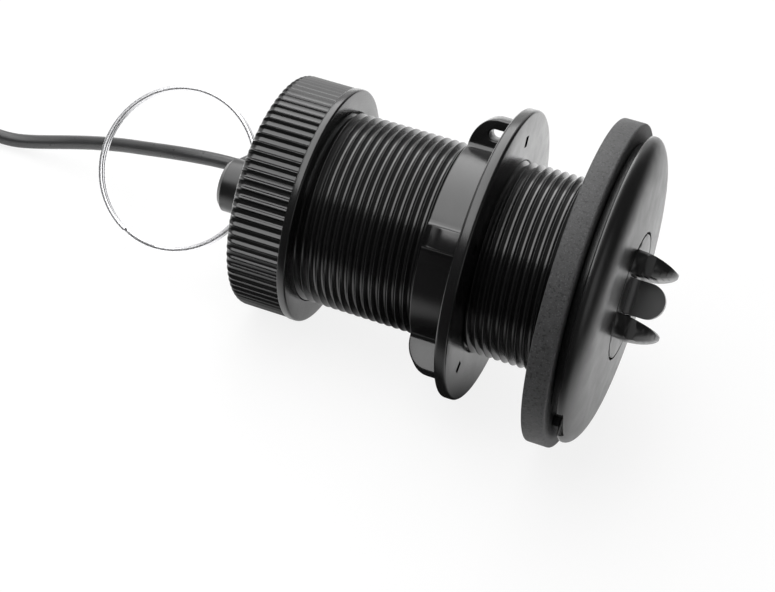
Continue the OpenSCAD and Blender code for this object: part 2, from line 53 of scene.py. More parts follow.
# Sizes in millimetres, as in the solids, apart from the finer thread, the wider shoulder and the nose gap.
# Heights run along the stem, outboard from the hull's face. Turns run round the stem in degrees, 0 upwards
MM = 0.001
STEM_R, STEM_L, BORE_R = 21.0, 63.0, 17.6
THREAD_PITCH, THREAD_DEPTH, THREAD_CREST, THREAD_FLANK = 1.755, 0.9, 0.14, 0.66
RING_R, RING_T, RING_GAP = 35.0, 5.0, 0.15
FLANGE_R, FLANGE_H, CROWN_R = 33.0, 6.7, 300.0
SHOULDER_W, RIM_H = 10.0, 0.5
GROOVE_H, GROOVE_DEPTH = 1.7, 1.8
NOTCH_W, NOTCH_H, NOTCH_DEPTH, NOTCH_TURN = 9.0, 3.0, 3.4, 243.0
NOSE_R, NOSE_L, NOSE_GAP, NOSE_GAP_DEPTH = 13.45, 10.0, 0.4, 1.5
HULL_GAP = 17.3
DISC_R, DISC_T = 31.7, 2.6
HUB_R, HUB_L, NUT_BORE_R = 22.18, 9.0, 21.08
WINGS, WING_T, WING_INSET, WING_TURN, WING_FLAT = 5, 4.4, 2.8, 17.0, 3.4
WING_EDGE, WING_FILLET = 0.3, 1.3
HOLLOW_L, HOLLOW_H, SLOT_HALF_TURN = 5.1, 2.4, 2.25
CAP_R, CAP_L, CAP_WALL, CAP_HOLE_R, CAP_ROUND = 25.9, 13.9, 3.1, 17.0, 1.8
LIP_W, LIP_STEP, RIBS, RIB_H = 1.8, 0.2, 80, 0.6
COLLAR_T, FACE_GAP = 3.0, 0.1
INSERT_TURN = 37.5
FIN_X, FIN_T, FIN_H = 6.7, 5.0, 8.0
COVER_T, POST_OFFSET = 2.0, 1.9
PULL_RING_R, WIRE_T, WIRE_ROUND, RING_HOLE_DROP = 18.45, 1.0, 0.28, 6.0
CABLE_R = 1.65

RIM_Z = RING_T + GROOVE_H
CROWN_Z = RING_T + FLANGE_H
NOSE_FLOOR_Z = CROWN_Z - NOSE_L
DISC_FRONT_Z = -HULL_GAP
DISC_BACK_Z = DISC_FRONT_Z - DISC_T
HUB_BACK_Z = DISC_BACK_Z - HUB_L
CAP_SEAT_Z = -STEM_L - COLLAR_T - FACE_GAP
CAP_BACK_Z = CAP_SEAT_Z - CAP_WALL
CAP_FRONT_Z = CAP_BACK_Z + CAP_L
LIP_BACK_Z = CAP_FRONT_Z - LIP_W
COVER_BACK_Z = -STEM_L - COLLAR_T - COVER_T
RING_HOLE_Z = COVER_BACK_Z - RING_HOLE_DROP

# Steps round a turned piece, the distance at which points merge, and the angle past which edges stay sharp
ROUND_STEPS = 240
MERGE_DIST = 0.0005
SHARP_ANGLE = math.radians(38)

# The stem lies tilted, as the hull nut's axis says, and the floor is under its lowest edge
stem_axis = Vector(joints["hull_nut_turn"]["axis"])
TILT = math.asin(stem_axis.z)
FLOOR_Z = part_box("flange_ring")[0][2]
LAY_DOWN = Matrix.Rotation(math.pi / 2 - TILT, 4, "Y") @ Matrix.Scale(MM, 4)


def at_turn(turn):
    """Turns a shape that points along +X to a place round the stem."""
    return Matrix.Rotation(math.radians(180 - turn), 4, "Z")


IN_INSERT = LAY_DOWN @ at_turn(INSERT_TURN)


# Shader maths
class Sock:
    """One value of a shader. Operators add Math nodes, and node() adds any other."""

    def __init__(self, tree, socket=None):
        self.tree = tree
        self.socket = socket

    def node(self, kind, settings=None, sockets=None, out=0):
        made = self.tree.nodes.new("ShaderNode" + kind)
        for key, value in (settings or {}).items():
            setattr(made, key, value)
        for key, value in (sockets or {}).items():
            if isinstance(value, Sock):
                self.tree.links.new(value.socket, made.inputs[key])
            else:
                made.inputs[key].default_value = value
        return Sock(self.tree, made.outputs[out])

    def math(self, operation, first, second):
        return self.node("Math", {"operation": operation}, {0: first, 1: second})

    def __add__(self, other):
        return self.math("ADD", self, other)

    def __radd__(self, other):
        return self.math("ADD", other, self)

    def __sub__(self, other):
        return self.math("SUBTRACT", self, other)

    def __rsub__(self, other):
        return self.math("SUBTRACT", other, self)

    def __mul__(self, other):
        return self.math("MULTIPLY", self, other)

    def __rmul__(self, other):
        return self.math("MULTIPLY", other, self)


def noise(sock, where, scale, detail=3.0):
    """A fine grain over the surface, about 0 to 1."""
    return sock.node("TexNoise", None, {"Vector": where, "Scale": scale, "Detail": detail})


def rise(sock, value, low, high):
    """0 below low, 1 above high."""
    return sock.node("MapRange", None, {"Value": value, "From Min": low, "From Max": high})


def along(sock, vector, axis):
    return sock.node("SeparateXYZ", None, {"Vector": vector}, out=axis)


def blend_colour(sock, share, first, second):
    return sock.node("Mix", {"data_type": "RGBA"}, {0: share, 6: first, 7: second}, out=2)


def neutral(value):
    return (value, value, value, 1.0)


def grey(value):
    """A grey of plastic, rubber or steel, a touch cool."""
    cool = 1.02
    return (value, value, value * cool, 1.0)


def new_material(name, base, rough, bump, depth, edge=0.0, **fixed):
    """A principled material. base, rough and bump take a Sock and the object's coordinates and give a value.

    depth is the bump's height, and edge the radius by which sharp edges look rounded, in millimetres.
    """
    made = bpy.data.materials.new(name)
    made.use_nodes = True
    tree = made.node_tree
    shader = tree.nodes["Principled BSDF"]
    for key, value in fixed.items():
        shader.inputs[key].default_value = value
    sock = Sock(tree)
    where = sock.node("TexCoord", out="Object")
    relief = {"Height": bump(sock, where), "Distance": depth * MM, "Strength": 1.0}
    if edge:
        relief["Normal"] = sock.node("Bevel", {"samples": 4}, {"Radius": edge * MM})
    tree.links.new(base(sock, where).socket, shader.inputs["Base Color"])
    tree.links.new(rough(sock, where).socket, shader.inputs["Roughness"])
    tree.links.new(sock.node("Bump", None, relief).socket, shader.inputs["Normal"])
    return made


def moulded_plastic(name, tone, rough_low, rough_high, grain, edge=0.0):
    """Black moulded plastic: a fine grain, faint flow marks and hairline scuffs."""
    dark, light, scuffed = [grey(tone * share) for share in (0.85, 1.2, 2.4)]
    scuff_share, fine_share, flow_share = 0.35, 0.6, 0.4

    def base(sock, where):
        clean = blend_colour(sock, noise(sock, where, scale=90.0), dark, light)
        scuff = rise(sock, noise(sock, where, scale=900.0, detail=6.0), low=0.66, high=0.74)
        return blend_colour(sock, scuff * scuff_share, clean, scuffed)

    def rough(sock, where):
        return rough_low + (rough_high - rough_low) * noise(sock, where, scale=260.0, detail=5.0)

    def bump(sock, where):
        fine = noise(sock, where, scale=5200.0, detail=2.0)
        flow = noise(sock, where, scale=700.0)
        return fine * fine_share + flow * flow_share

    return new_material(name, base, rough, bump, depth=grain, edge=edge, IOR=1.58)


def ring_rubber():
    """Matte ring stock with pale filler specks and dark pits."""
    dark, light, speck_tone, pit_tone = [grey(tone) for tone in (0.038, 0.074, 0.13, 0.014)]
    speck_share, pit_share = 0.6, 0.7
    smooth, uneven = 0.44, 0.25

    def base(sock, where):
        cell = sock.node("TexVoronoi", {"feature": "F1"}, {"Vector": where, "Scale": 2000.0}, out="Distance")
        speck = 1.0 - rise(sock, cell, low=0.1, high=0.32)
        pit = rise(sock, noise(sock, where, scale=1700.0, detail=2.0), low=0.56, high=0.66)
        stock = blend_colour(sock, noise(sock, where, scale=900.0, detail=5.0), dark, light)
        specked = blend_colour(sock, speck * speck_share, stock, speck_tone)
        return blend_colour(sock, pit * pit_share, specked, pit_tone)

    def rough(sock, where):
        return smooth + uneven * noise(sock, where, scale=1800.0)

    def bump(sock, where):
        return noise(sock, where, scale=2400.0, detail=4.0)

    return new_material("ring_rubber", base, rough, bump, depth=0.07, IOR=1.5)


def drawn_steel():
    """Bright drawn wire with faint die lines."""
    dark, light = grey(0.66), grey(0.8)
    smooth, uneven = 0.2, 0.18

    def base(sock, where):
        return blend_colour(sock, noise(sock, where, scale=1500.0), dark, light)

    def rough(sock, where):
        return smooth + uneven * noise(sock, where, scale=3200.0, detail=5.0)

    def bump(sock, where):
        return noise(sock, where, scale=4200.0)

    return new_material("drawn_steel", base, rough, bump, depth=0.01, Metallic=1.0)


def cable_jacket():
    """Smooth extruded jacket with a slight bloom."""
    dark, light = grey(0.032), grey(0.065)
    smooth, uneven = 0.22, 0.16

    def base(sock, where):
        return blend_colour(sock, noise(sock, where, scale=160.0, detail=4.0), dark, light)

    def rough(sock, where):
        return smooth + uneven * noise(sock, where, scale=700.0, detail=4.0)

    def bump(sock, where):
        return noise(sock, where, scale=2600.0)

    return new_material("cable_jacket", base, rough, bump, depth=0.025, IOR=1.5)


def woven_tie():
    """Black woven strap, with threads that go over and under each other."""
    dark, light = grey(0.02), grey(0.09)
    smooth, uneven = 0.75, 0.2

    def weave(sock, where):
        warp = sock.node("TexWave", {"bands_direction": "Z"}, {"Vector": where, "Scale": 640.0})
        weft = sock.node("TexWave", {"bands_direction": "DIAGONAL"}, {"Vector": where, "Scale": 480.0})
        return warp * weft

    def base(sock, where):
        return blend_colour(sock, weave(sock, where), dark, light)

    def rough(sock, where):
        return smooth + uneven * noise(sock, where, scale=900.0)

    return new_material("tie_fabric", base, rough, weave, depth=0.12)


def plain_inner(name, low, high, smooth, metallic=0.0):
    """For pieces inside the housing: two close tones of one stuff."""
    uneven = 0.15

    def base(sock, where):
        return blend_colour(sock, noise(sock, where, scale=700.0, detail=4.0), low, high)

    def rough(sock, where):
        return smooth + uneven * noise(sock, where, scale=1400.0)

    def bump(sock, where):
        return noise(sock, where, scale=2600.0)

    return new_material(name, base, rough, bump, depth=0.02, Metallic=metallic)


BLACK = moulded_plastic("black_plastic", tone=0.006, rough_low=0.16, rough_high=0.3, grain=0.012)
NOSE_BLACK = moulded_plastic(
    "nose_plastic", tone=0.006, rough_low=0.27, rough_high=0.42, grain=0.014, edge=0.25
)
# The black plastic in a lighter tone, which paints light on the paddle's face
PADDLE_PAINTED_LIGHT = moulded_plastic(
    "paddle_plastic_painted_light", tone=0.05, rough_low=0.25, rough_high=0.4, grain=0.014, edge=0.25
)
BOOT = moulded_plastic("boot_rubber", tone=0.04, rough_low=0.45, rough_high=0.6, grain=0.02, edge=0.2)
PLUG = moulded_plastic("plug_plastic", tone=0.035, rough_low=0.4, rough_high=0.55, grain=0.02)
RUBBER = ring_rubber()
STEEL = drawn_steel()
JACKET = cable_jacket()
TIE = woven_tie()
SEAL = plain_inner("seal_rubber", grey(0.018), grey(0.03), smooth=0.4)
BOARD = plain_inner("board_laminate", (0.01, 0.09, 0.03, 1.0), (0.02, 0.16, 0.06, 1.0), smooth=0.3)
CHIP = plain_inner("chip_resin", grey(0.02), grey(0.035), smooth=0.5)
POTTING = plain_inner("potting_resin", grey(0.02), grey(0.04), smooth=0.2)
MAGNET = plain_inner("magnet_plate", grey(0.55), grey(0.7), smooth=0.18, metallic=1.0)
GOLD = plain_inner("contact_gold", (0.72, 0.5, 0.2, 1.0), (0.85, 0.62, 0.28, 1.0), smooth=0.22, metallic=1.0)


# Mesh tools
def rounded(corners, steps=4):
    """An outline with its corners rounded: each corner is r, z and the radius of its fillet."""
    most = 0.49
    outline = []
    count = len(corners)
    for i, (r, z, fillet) in enumerate(corners):
        here = Vector((r, z))
        before = Vector(corners[i - 1][:2]) - here
        after = Vector(corners[(i + 1) % count][:2]) - here
        if not fillet:
            outline.append(here)
            continue
        half = before.angle(after) / 2
        cut = min(fillet / math.tan(half), before.length * most, after.length * most)
        radius = cut * math.tan(half)
        inwards = (before.normalized() + after.normalized()).normalized()
        centre = here + inwards * (radius / math.sin(half))
        first = here + before.normalized() * cut - centre
        last = here + after.normalized() * cut - centre
        swing = first.angle_signed(last)
        for k in range(steps + 1):
            turned = first.copy()
            turned.rotate(Matrix.Rotation(-swing * k / steps, 2))
            outline.append(centre + turned)
    return outline


def arc_points(centre_r, centre_z, width, height, start, end, steps):
    """Points of an ellipse's arc in r and z, angles in degrees."""
    span = [math.radians(start + (end - start) * k / steps) for k in range(steps + 1)]
    return [(centre_r + width * math.cos(a), centre_z + height * math.sin(a)) for a in span]


def angle_from(turn, point):
    """How far a point lies round the stem from a turn, in radians, with a sign."""
    middle = math.radians(180 - turn)
    return (math.atan2(point.y, point.x) - middle + math.pi) % (2 * math.pi) - math.pi


def verts_of(geom):
    return [g for g in geom if isinstance(g, bmesh.types.BMVert)]


def merge_doubles(bm):
    bmesh.ops.remove_doubles(bm, verts=bm.verts, dist=MERGE_DIST)


def finish_mesh(bm):
    """Merges doubles and points the faces outwards."""
    merge_doubles(bm)
    bmesh.ops.recalc_face_normals(bm, faces=bm.faces)


def spin_outline(bm, outline, closed=True):
    """Turns an outline of r, z points about the Z axis into a surface."""
    verts = [bm.verts.new((p[0], 0.0, p[1])) for p in outline]
    pairs = list(zip(verts, verts[1:]))
    if closed:
        pairs.append((verts[-1], verts[0]))
    edges = [bm.edges.new(pair) for pair in pairs]
    bmesh.ops.spin(
        bm, geom=verts + edges, cent=(0, 0, 0), axis=(0, 0, 1), angle=2 * math.pi, steps=ROUND_STEPS,
        use_merge=True,
    )


def thicken(bm, face, way):
    """Makes a block of one face, along a way."""
    made = bmesh.ops.extrude_face_region(bm, geom=[face])
    bmesh.ops.translate(bm, verts=verts_of(made["geom"]), vec=way)
    bmesh.ops.recalc_face_normals(bm, faces=bm.faces)


def join_into(bm, part, place):
    """Adds a part's mesh to another, in place."""
    part.transform(place)
    mesh = bpy.data.meshes.new("part")
    part.to_mesh(mesh)
    part.free()
    bm.from_mesh(mesh)
    bpy.data.meshes.remove(mesh)


def new_piece(name, bm, place, body, material, slot, *stands_for):
    """Makes an object of a mesh in millimetres, puts it in place and sets it on its body."""
    finish_mesh(bm)
    mesh = bpy.data.meshes.new(name)
    bm.transform(place)
    bm.to_mesh(mesh)
    bm.free()
    mesh.shade_smooth()
    mesh.set_sharp_from_angle(angle=SHARP_ANGLE)
    piece = bpy.data.objects.new(name, mesh)
    bpy.context.collection.objects.link(piece)
    mesh.materials.append(material)
    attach(piece, body)
    if stands_for:
        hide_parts(*stands_for)
    return piece


# Housing: turned flange and stem, with a helical ridge for the thread
ROOT_R = STEM_R - THREAD_DEPTH


def crown_at(r):
    """Height of the flange's shallow crown at radius r."""
    return CROWN_Z - CROWN_R + math.sqrt(CROWN_R**2 - r**2)


def thread_ridge(bm):
    """Winds one ridge round the stem, from its inboard end to the flange ring."""
    sink, run_out, crest_round = 0.2, 0.1, 0.1
    steps = 120
    half = THREAD_CREST / 2
    foot = THREAD_FLANK + half + run_out
    outline = rounded([
        (ROOT_R - sink, -foot, 0), (STEM_R, -half, crest_round),
        (STEM_R, half, crest_round), (ROOT_R - sink, foot, 0),
    ], steps=2)
    start = THREAD_PITCH / 2 - STEM_L
    ridge = bmesh.new()
    verts = [ridge.verts.new((p[0], 0.0, p[1] + start)) for p in outline]
    edges = [ridge.edges.new(pair) for pair in zip(verts, verts[1:] + verts[:1])]
    bmesh.ops.spin(
        ridge, geom=verts + edges, cent=(0, 0, 0), axis=(0, 0, 1), angle=2 * math.pi,
        dvec=(0, 0, THREAD_PITCH / steps), steps=steps,
    )
    first_turn = ridge.verts[:] + ridge.edges[:] + ridge.faces[:]
    for turn in range(1, int(STEM_L / THREAD_PITCH - 0.5)):
        copied = bmesh.ops.duplicate(ridge, geom=first_turn)["geom"]
        bmesh.ops.translate(ridge, verts=verts_of(copied), vec=(0, 0, turn * THREAD_PITCH))
    merge_doubles(ridge)
    bmesh.ops.holes_fill(ridge, edges=[e for e in ridge.edges if e.is_boundary], sides=0)
    join_into(bm, ridge, Matrix.Identity(4))


def cut_notch(bm):
    """Presses the alignment notch into the rim, from the flange ring up."""
    half = math.asin(NOTCH_W / 2 / FLANGE_R)
    floor_r = FLANGE_R - NOTCH_DEPTH
    hair = 0.01
    for vert in bm.verts:
        r = math.hypot(vert.co.x, vert.co.y)
        in_rim = r > floor_r and RING_T - hair < vert.co.z < RING_T + NOTCH_H
        if in_rim and abs(angle_from(NOTCH_TURN, vert.co)) < half:
            vert.co.xy *= floor_r / r


def make_housing():
    bm = bmesh.new()
    shoulder_in = FLANGE_R - SHOULDER_W
    shoulder_z = RIM_Z + RIM_H
    shoulder_h = crown_at(shoulder_in) - shoulder_z
    shoulder = arc_points(shoulder_in, shoulder_z, SHOULDER_W, shoulder_h, start=0, end=90, steps=12)
    gap_r = NOSE_R + NOSE_GAP
    gap_z = CROWN_Z - NOSE_GAP_DEPTH
    crown = [(r, crown_at(r)) for r in (20.0, 17.0, gap_r)]
    neck_r = FLANGE_R - GROOVE_DEPTH
    # The last two corners only close the outline here: the shoulder, the crown and the nose take their place
    low = rounded([
        (BORE_R, -STEM_L, 0.4), (ROOT_R, -STEM_L, 0.8), (ROOT_R, 0.0, 0), (STEM_R, 0.0, 0),
        (STEM_R, RING_T, 0), (neck_r, RING_T, 0.3), (neck_r, RIM_Z, 0.3), (FLANGE_R, RIM_Z, 0.35),
        (FLANGE_R, shoulder_z, 0), (BORE_R, NOSE_FLOOR_Z, 0),
    ])[:-2]
    nose = [(gap_r, gap_z), (NOSE_R, gap_z), (NOSE_R, NOSE_FLOOR_Z), (BORE_R, NOSE_FLOOR_Z)]
    spin_outline(bm, [*low, *shoulder, *crown, *nose])
    merge_doubles(bm)
    cut_notch(bm)
    for face in bm.faces:
        if face.calc_center_median().z > shoulder_z:
            face.material_index = 1
    thread_ridge(bm)
    piece = new_piece("stem_and_flange", bm, LAY_DOWN, "transducer", BLACK, "black_plastic", "housing")
    piece.data.materials.append(NOSE_BLACK)


def make_flange_ring():
    bm = bmesh.new()
    inner_r = STEM_R + RING_GAP
    spin_outline(bm, rounded([
        (inner_r, 0.0, 0.1), (RING_R, 0.0, 0.35), (RING_R, RING_T, 0.55), (inner_r, RING_T, 0.1),
    ]))
    new_piece("hull_ring", bm, LAY_DOWN, "transducer", RUBBER, "ring_rubber", "flange_ring")


# Hull nut: a disc with slots, a hub and five hollow wings
WING_R = DISC_R - WING_INSET
HOLLOW_R = (HUB_R + WING_R) / 2
# How far a wing reaches into the hub and the disc, and the wire hole and the fillets into the disc
WING_IN_HUB, WING_IN_DISC, HOLE_IN_DISC = 0.4, 0.3, 0.1


def wing_outline():
    """The wing's edge in r and z, from inside the disc round to the hub's back end."""
    foot = HUB_R - WING_IN_HUB
    top = DISC_BACK_Z + WING_IN_DISC
    bow = DISC_BACK_Z - WING_FLAT
    curve = arc_points(foot, bow, WING_R - foot, HUB_L - WING_FLAT, start=0, end=-90, steps=12)
    return [(foot, top), (WING_R, top), *curve]


def wire_hole():
    """The arched hole's edge in r and z, open at the disc's side."""
    half = HOLLOW_H / 2
    top = DISC_BACK_Z + HOLE_IN_DISC
    arch = arc_points(HOLLOW_R, DISC_BACK_Z - HOLLOW_L + half, half, half, start=0, end=-180, steps=8)
    return [(HOLLOW_R + half, top), *arch, (HOLLOW_R - half, top)]


def add_wing(bm, turn, with_hole):
    """A rounded plate with eased edges. With a hole, its face runs round it from the disc's side."""
    wing = bmesh.new()
    edge = [wing.verts.new((r, -WING_T / 2, z)) for r, z in wing_outline()]
    rim = [wing.verts.new((r, -WING_T / 2, z)) for r, z in wire_hole()] if with_hole else []
    face = wing.faces.new([*edge[1:], edge[0], *reversed(rim)])
    thicken(wing, face, (0, WING_T, 0))
    square = math.radians(60)
    corners = [e for e in wing.edges if len(e.link_faces) == 2 and e.calc_face_angle() > square]
    bmesh.ops.bevel(
        wing, geom=corners, offset=WING_EDGE, segments=3, profile=0.5, affect="EDGES", material=-1
    )
    join_into(bm, wing, at_turn(turn))


def add_wing_fillet(bm, turn, side):
    """The hollow curve between one side of a wing and the hub."""
    sink, inset, end_gap, steps = 0.15, 1.0, 0.2, 8
    strip = bmesh.new()
    across = WING_T / 2 + WING_FILLET
    out = math.sqrt((HUB_R + WING_FILLET) ** 2 - across**2)
    start = math.atan2(-across, -out)
    curve = []
    for k in range(steps + 1):
        angle = -math.pi / 2 + (start + math.pi / 2) * k / steps
        curve.append((out + WING_FILLET * math.cos(angle), across + WING_FILLET * math.sin(angle)))
    last_x, last_y = curve[-1]
    section = [
        (out, across - WING_FILLET - sink), *curve,
        (last_x - 2 * sink, last_y), (HUB_R - inset, WING_T / 2 - sink),
    ]
    face = strip.faces.new([strip.verts.new((x, side * y, HUB_BACK_Z + end_gap)) for x, y in section])
    thicken(strip, face, (0, 0, HUB_L - end_gap + HOLE_IN_DISC))
    join_into(bm, strip, at_turn(turn))


def in_slot(face, turn):
    """Whether a flat face of the disc lies in the slot at a turn."""
    centre = face.calc_center_median()
    inside = abs(math.hypot(centre.x, centre.y) - HOLLOW_R) < HOLLOW_H / 2
    flat = abs(face.normal.z) > 0.9
    return inside and flat and abs(angle_from(turn, centre)) < math.radians(SLOT_HALF_TURN)


def cut_slot(bm, turn, through):
    """Opens the disc's front into a wing's hollow, or right through to the wing with the wire hole."""
    cells = [f for f in bm.faces if in_slot(f, turn)]
    front = [f for f in cells if f.normal.z > 0]
    border = {e for f in front for e in f.edges if len([g for g in e.link_faces if g in front]) == 1}
    bmesh.ops.delete(bm, geom=cells if through else front, context="FACES")
    made = bmesh.ops.extrude_edge_only(bm, edges=list(border))["geom"]
    depth = DISC_T if through else DISC_T + HOLLOW_L
    bmesh.ops.translate(bm, verts=verts_of(made), vec=(0, 0, -depth))
    if not through:
        bmesh.ops.holes_fill(bm, edges=[g for g in made if isinstance(g, bmesh.types.BMEdge)], sides=0)


def make_hull_nut():
    bm = bmesh.new()
    near, far = HOLLOW_R - HOLLOW_H / 2, HOLLOW_R + HOLLOW_H / 2
    spin_outline(bm, rounded([
        (NUT_BORE_R, DISC_FRONT_Z, 0.3), (near, DISC_FRONT_Z, 0), (far, DISC_FRONT_Z, 0),
        (DISC_R, DISC_FRONT_Z, 0.6), (DISC_R, DISC_BACK_Z, 0.6),
        (far, DISC_BACK_Z, 0), (near, DISC_BACK_Z, 0),
        (HUB_R, DISC_BACK_Z, 0.25), (HUB_R, HUB_BACK_Z, 0.3), (NUT_BORE_R, HUB_BACK_Z, 0.3),
    ]))
    # A slot is three steps wide, so the first wing's middle is put half-way through a step
    half_step = math.pi / ROUND_STEPS
    middle = math.radians(180 - WING_TURN) % (2 * half_step)
    turned = Matrix.Rotation(middle - half_step, 3, "Z")
    bmesh.ops.rotate(bm, verts=bm.verts, cent=(0, 0, 0), matrix=turned)
    finish_mesh(bm)
    turns = [WING_TURN + i * 360 / WINGS for i in range(WINGS)]
    for turn in turns:
        cut_slot(bm, turn, turn == WING_TURN)
    for turn in turns:
        add_wing(bm, turn, turn == WING_TURN)
        add_wing_fillet(bm, turn, 1)
        add_wing_fillet(bm, turn, -1)
    new_piece("winged_nut", bm, LAY_DOWN, "hull_nut", BLACK, "black_plastic", "hull_nut")


# Cap nut: one rib is a bent grid, copied round
def make_cap_nut():
    bm = bmesh.new()
    segments, round_share, crest_power, lip_sink = 12, 0.75, 3, 0.5
    rib_r = CAP_R - LIP_STEP
    pitch = 2 * math.pi / RIBS
    grid = bmesh.ops.create_grid(bm, x_segments=segments, y_segments=segments, size=0.5)["verts"]
    for vert in grid:
        u, v = vert.co.x + 0.5, vert.co.y + 0.5
        crest = (0.5 + 0.5 * math.cos(2 * math.pi * u)) ** crest_power
        edge = min(v / round_share, 1.0) * math.pi / 2
        back_r = rib_r - CAP_ROUND + CAP_ROUND * math.sin(edge)
        back_z = CAP_BACK_Z + CAP_ROUND - CAP_ROUND * math.cos(edge)
        forward = max(v - round_share, 0.0) / (1 - round_share)
        z = back_z + (LIP_BACK_Z - back_z) * forward
        r = back_r - RIB_H * (1 - crest) * math.sin(edge)
        vert.co = (r * math.cos(u * pitch), r * math.sin(u * pitch), z)
    bmesh.ops.spin(
        bm, geom=bm.faces[:] + bm.edges[:] + bm.verts[:], cent=(0, 0, 0), axis=(0, 0, 1),
        angle=2 * math.pi, steps=RIBS, use_duplicate=True,
    )
    merge_doubles(bm)
    under_ribs = rib_r - RIB_H - lip_sink
    spin_outline(bm, [
        (rib_r - CAP_ROUND, CAP_BACK_Z),
        *rounded([
            (CAP_HOLE_R, CAP_BACK_Z, 0.5), (CAP_HOLE_R, CAP_SEAT_Z, 0.2), (NUT_BORE_R, CAP_SEAT_Z, 0),
            (NUT_BORE_R, CAP_FRONT_Z, 0.3), (CAP_R, CAP_FRONT_Z, 0.5), (CAP_R, LIP_BACK_Z, 0.25),
            (under_ribs, LIP_BACK_Z, 0),
        ]),
    ], closed=False)
    new_piece("knurled_cap", bm, LAY_DOWN, "cap_nut", BLACK, "black_plastic", "cap_nut")


# Insert: its own solid, with more rows in the fins, which swell to blunt tips
FIN_ROWS = (0.25, 0.5, 0.65, 0.78, 0.88, 0.94, 0.98)
FIN_LOW, FIN_TOP, FIN_BLUNT = 0.02, 0.99, 0.65
CUT_DIST = 0.0001


def make_insert():
    bm = bmesh.new()
    bm.from_mesh(nodes["insert_body"].data)
    bm.transform(IN_INSERT.inverted())
    merge_doubles(bm)
    for row in FIN_ROWS:
        everything = [*bm.verts, *bm.edges, *bm.faces]
        level = (0, 0, CROWN_Z + row * FIN_H)
        bmesh.ops.bisect_plane(bm, geom=everything, dist=CUT_DIST, plane_co=level, plane_no=(0, 0, 1))
    flank_r = (FIN_T**2 / 4 + FIN_H**2) / FIN_T
    for vert in bm.verts:
        up = (vert.co.z - CROWN_Z) / FIN_H
        if FIN_LOW < up < FIN_TOP:
            arch = math.sqrt(flank_r**2 - (up * FIN_H) ** 2) - flank_r + FIN_T / 2
            dome = FIN_T / 2 * math.sqrt(1 - up**2)
            middle = math.copysign(FIN_X, vert.co.x)
            vert.co.x = middle + (vert.co.x - middle) * (1 - FIN_BLUNT + FIN_BLUNT * dome / arch)
    new_piece("insert", bm, IN_INSERT, "transducer", NOSE_BLACK, "black_plastic", "insert_body")


# Pull ring: two flat turns of wire, with a short kink between their planes
RING_START, RING_KINK, RING_END_GAP = [math.radians(angle) for angle in (205, 24, 2.5)]


def make_pull_ring():
    bm = bmesh.new()
    mean_r = PULL_RING_R - WIRE_T / 2
    half = WIRE_T / 2
    outline = rounded([
        (mean_r - half, -half, WIRE_ROUND), (mean_r + half, -half, WIRE_ROUND),
        (mean_r + half, half, WIRE_ROUND), (mean_r - half, half, WIRE_ROUND),
    ], steps=3)
    face = bm.faces.new([bm.verts.new((p[0], 0.0, p[1] - half)) for p in outline])
    bmesh.ops.rotate(bm, verts=bm.verts, cent=(0, 0, 0), matrix=Matrix.Rotation(RING_START, 3, "Z"))
    flat_turn = 2 * math.pi - RING_KINK - RING_END_GAP
    geom = [face]
    for angle, climb, steps in ((flat_turn, 0.0, 120), (RING_KINK, WIRE_T, 16), (flat_turn, 0.0, 120)):
        made = bmesh.ops.spin(
            bm, geom=geom, cent=(0, 0, 0), axis=(0, 0, 1), angle=angle, dvec=(0, 0, climb / steps),
            steps=steps,
        )
        geom = [g for g in made["geom_last"] if isinstance(g, bmesh.types.BMFace)]
    centre = Matrix.Translation((-POST_OFFSET, 0, RING_HOLE_Z - mean_r))
    place = IN_INSERT @ centre @ Matrix.Rotation(math.pi / 2, 4, "X")
    new_piece("split_ring", bm, place, "pull_ring", STEEL, "stainless_steel", "pull_ring")


# Cable: its free run, the coil's turns and the tail, as X, Y and height above the floor in metres
CABLE_RUN = [
    (-0.079, 0.0097, 0.020), (-0.082, 0.0097, 0.0196), (-0.086, 0.0095, 0.019), (-0.091, 0.0093, 0.0179),
    (-0.097, 0.0093, 0.0162), (-0.103, 0.0098, 0.014), (-0.110, 0.0104, 0.0114), (-0.117, 0.0107, 0.0085),
    (-0.123, 0.0103, 0.0061), (-0.128, 0.0094, 0.0043), (-0.132, 0.0086, 0.003), (-0.136, 0.0078, 0.0021),
    (-0.141, 0.0072, 0.0018), (-0.147, 0.0072, 0.0017), (-0.153, 0.0081, 0.0017), (-0.159, 0.0096, 0.0018),
    (-0.165, 0.0112, 0.002), (-0.171, 0.0121, 0.0022),
]
CABLE_TAIL = [
    (-0.181, 0.0118, 0.0194), (-0.186, 0.0098, 0.0212), (-0.1905, 0.0065, 0.0234), (-0.194, 0.002, 0.0254),
    (-0.1956, -0.0025, 0.0269), (-0.196, -0.007, 0.0276), (-0.196, -0.010, 0.0276),
]
COIL_X, COIL_Y, COIL_LOW = -0.176, -0.020, 0.0006
COIL_R, COIL_COLUMNS, COIL_LAYERS, COIL_STEPS = 0.03235, 7, 6, 16
CABLE_D = 2 * CABLE_R * MM


def coil_points():
    """The cable in flat layers, wound inwards and outwards by turns, from the outer edge below to the top."""
    points = []
    for step in range(COIL_COLUMNS * COIL_LAYERS * COIL_STEPS + 1):
        turn = step / COIL_STEPS
        layer = min(int(turn / COIL_COLUMNS), COIL_LAYERS - 1)
        inwards = min(max(turn - layer * COIL_COLUMNS - 0.5, 0.0), COIL_COLUMNS - 1)
        if layer % 2:
            inwards = COIL_COLUMNS - 1 - inwards
        climb = 0.0
        for change in range(1, COIL_LAYERS):
            part = min(max(turn - change * COIL_COLUMNS + 0.5, 0.0), 1.0)
            climb += part * part * (3 - 2 * part)
        r = COIL_R - CABLE_D * inwards
        angle = math.pi / 2 + 2 * math.pi * turn
        height = COIL_LOW + CABLE_D * (climb + 0.5)
        points.append((COIL_X + r * math.cos(angle), COIL_Y + r * math.sin(angle), height))
    return points


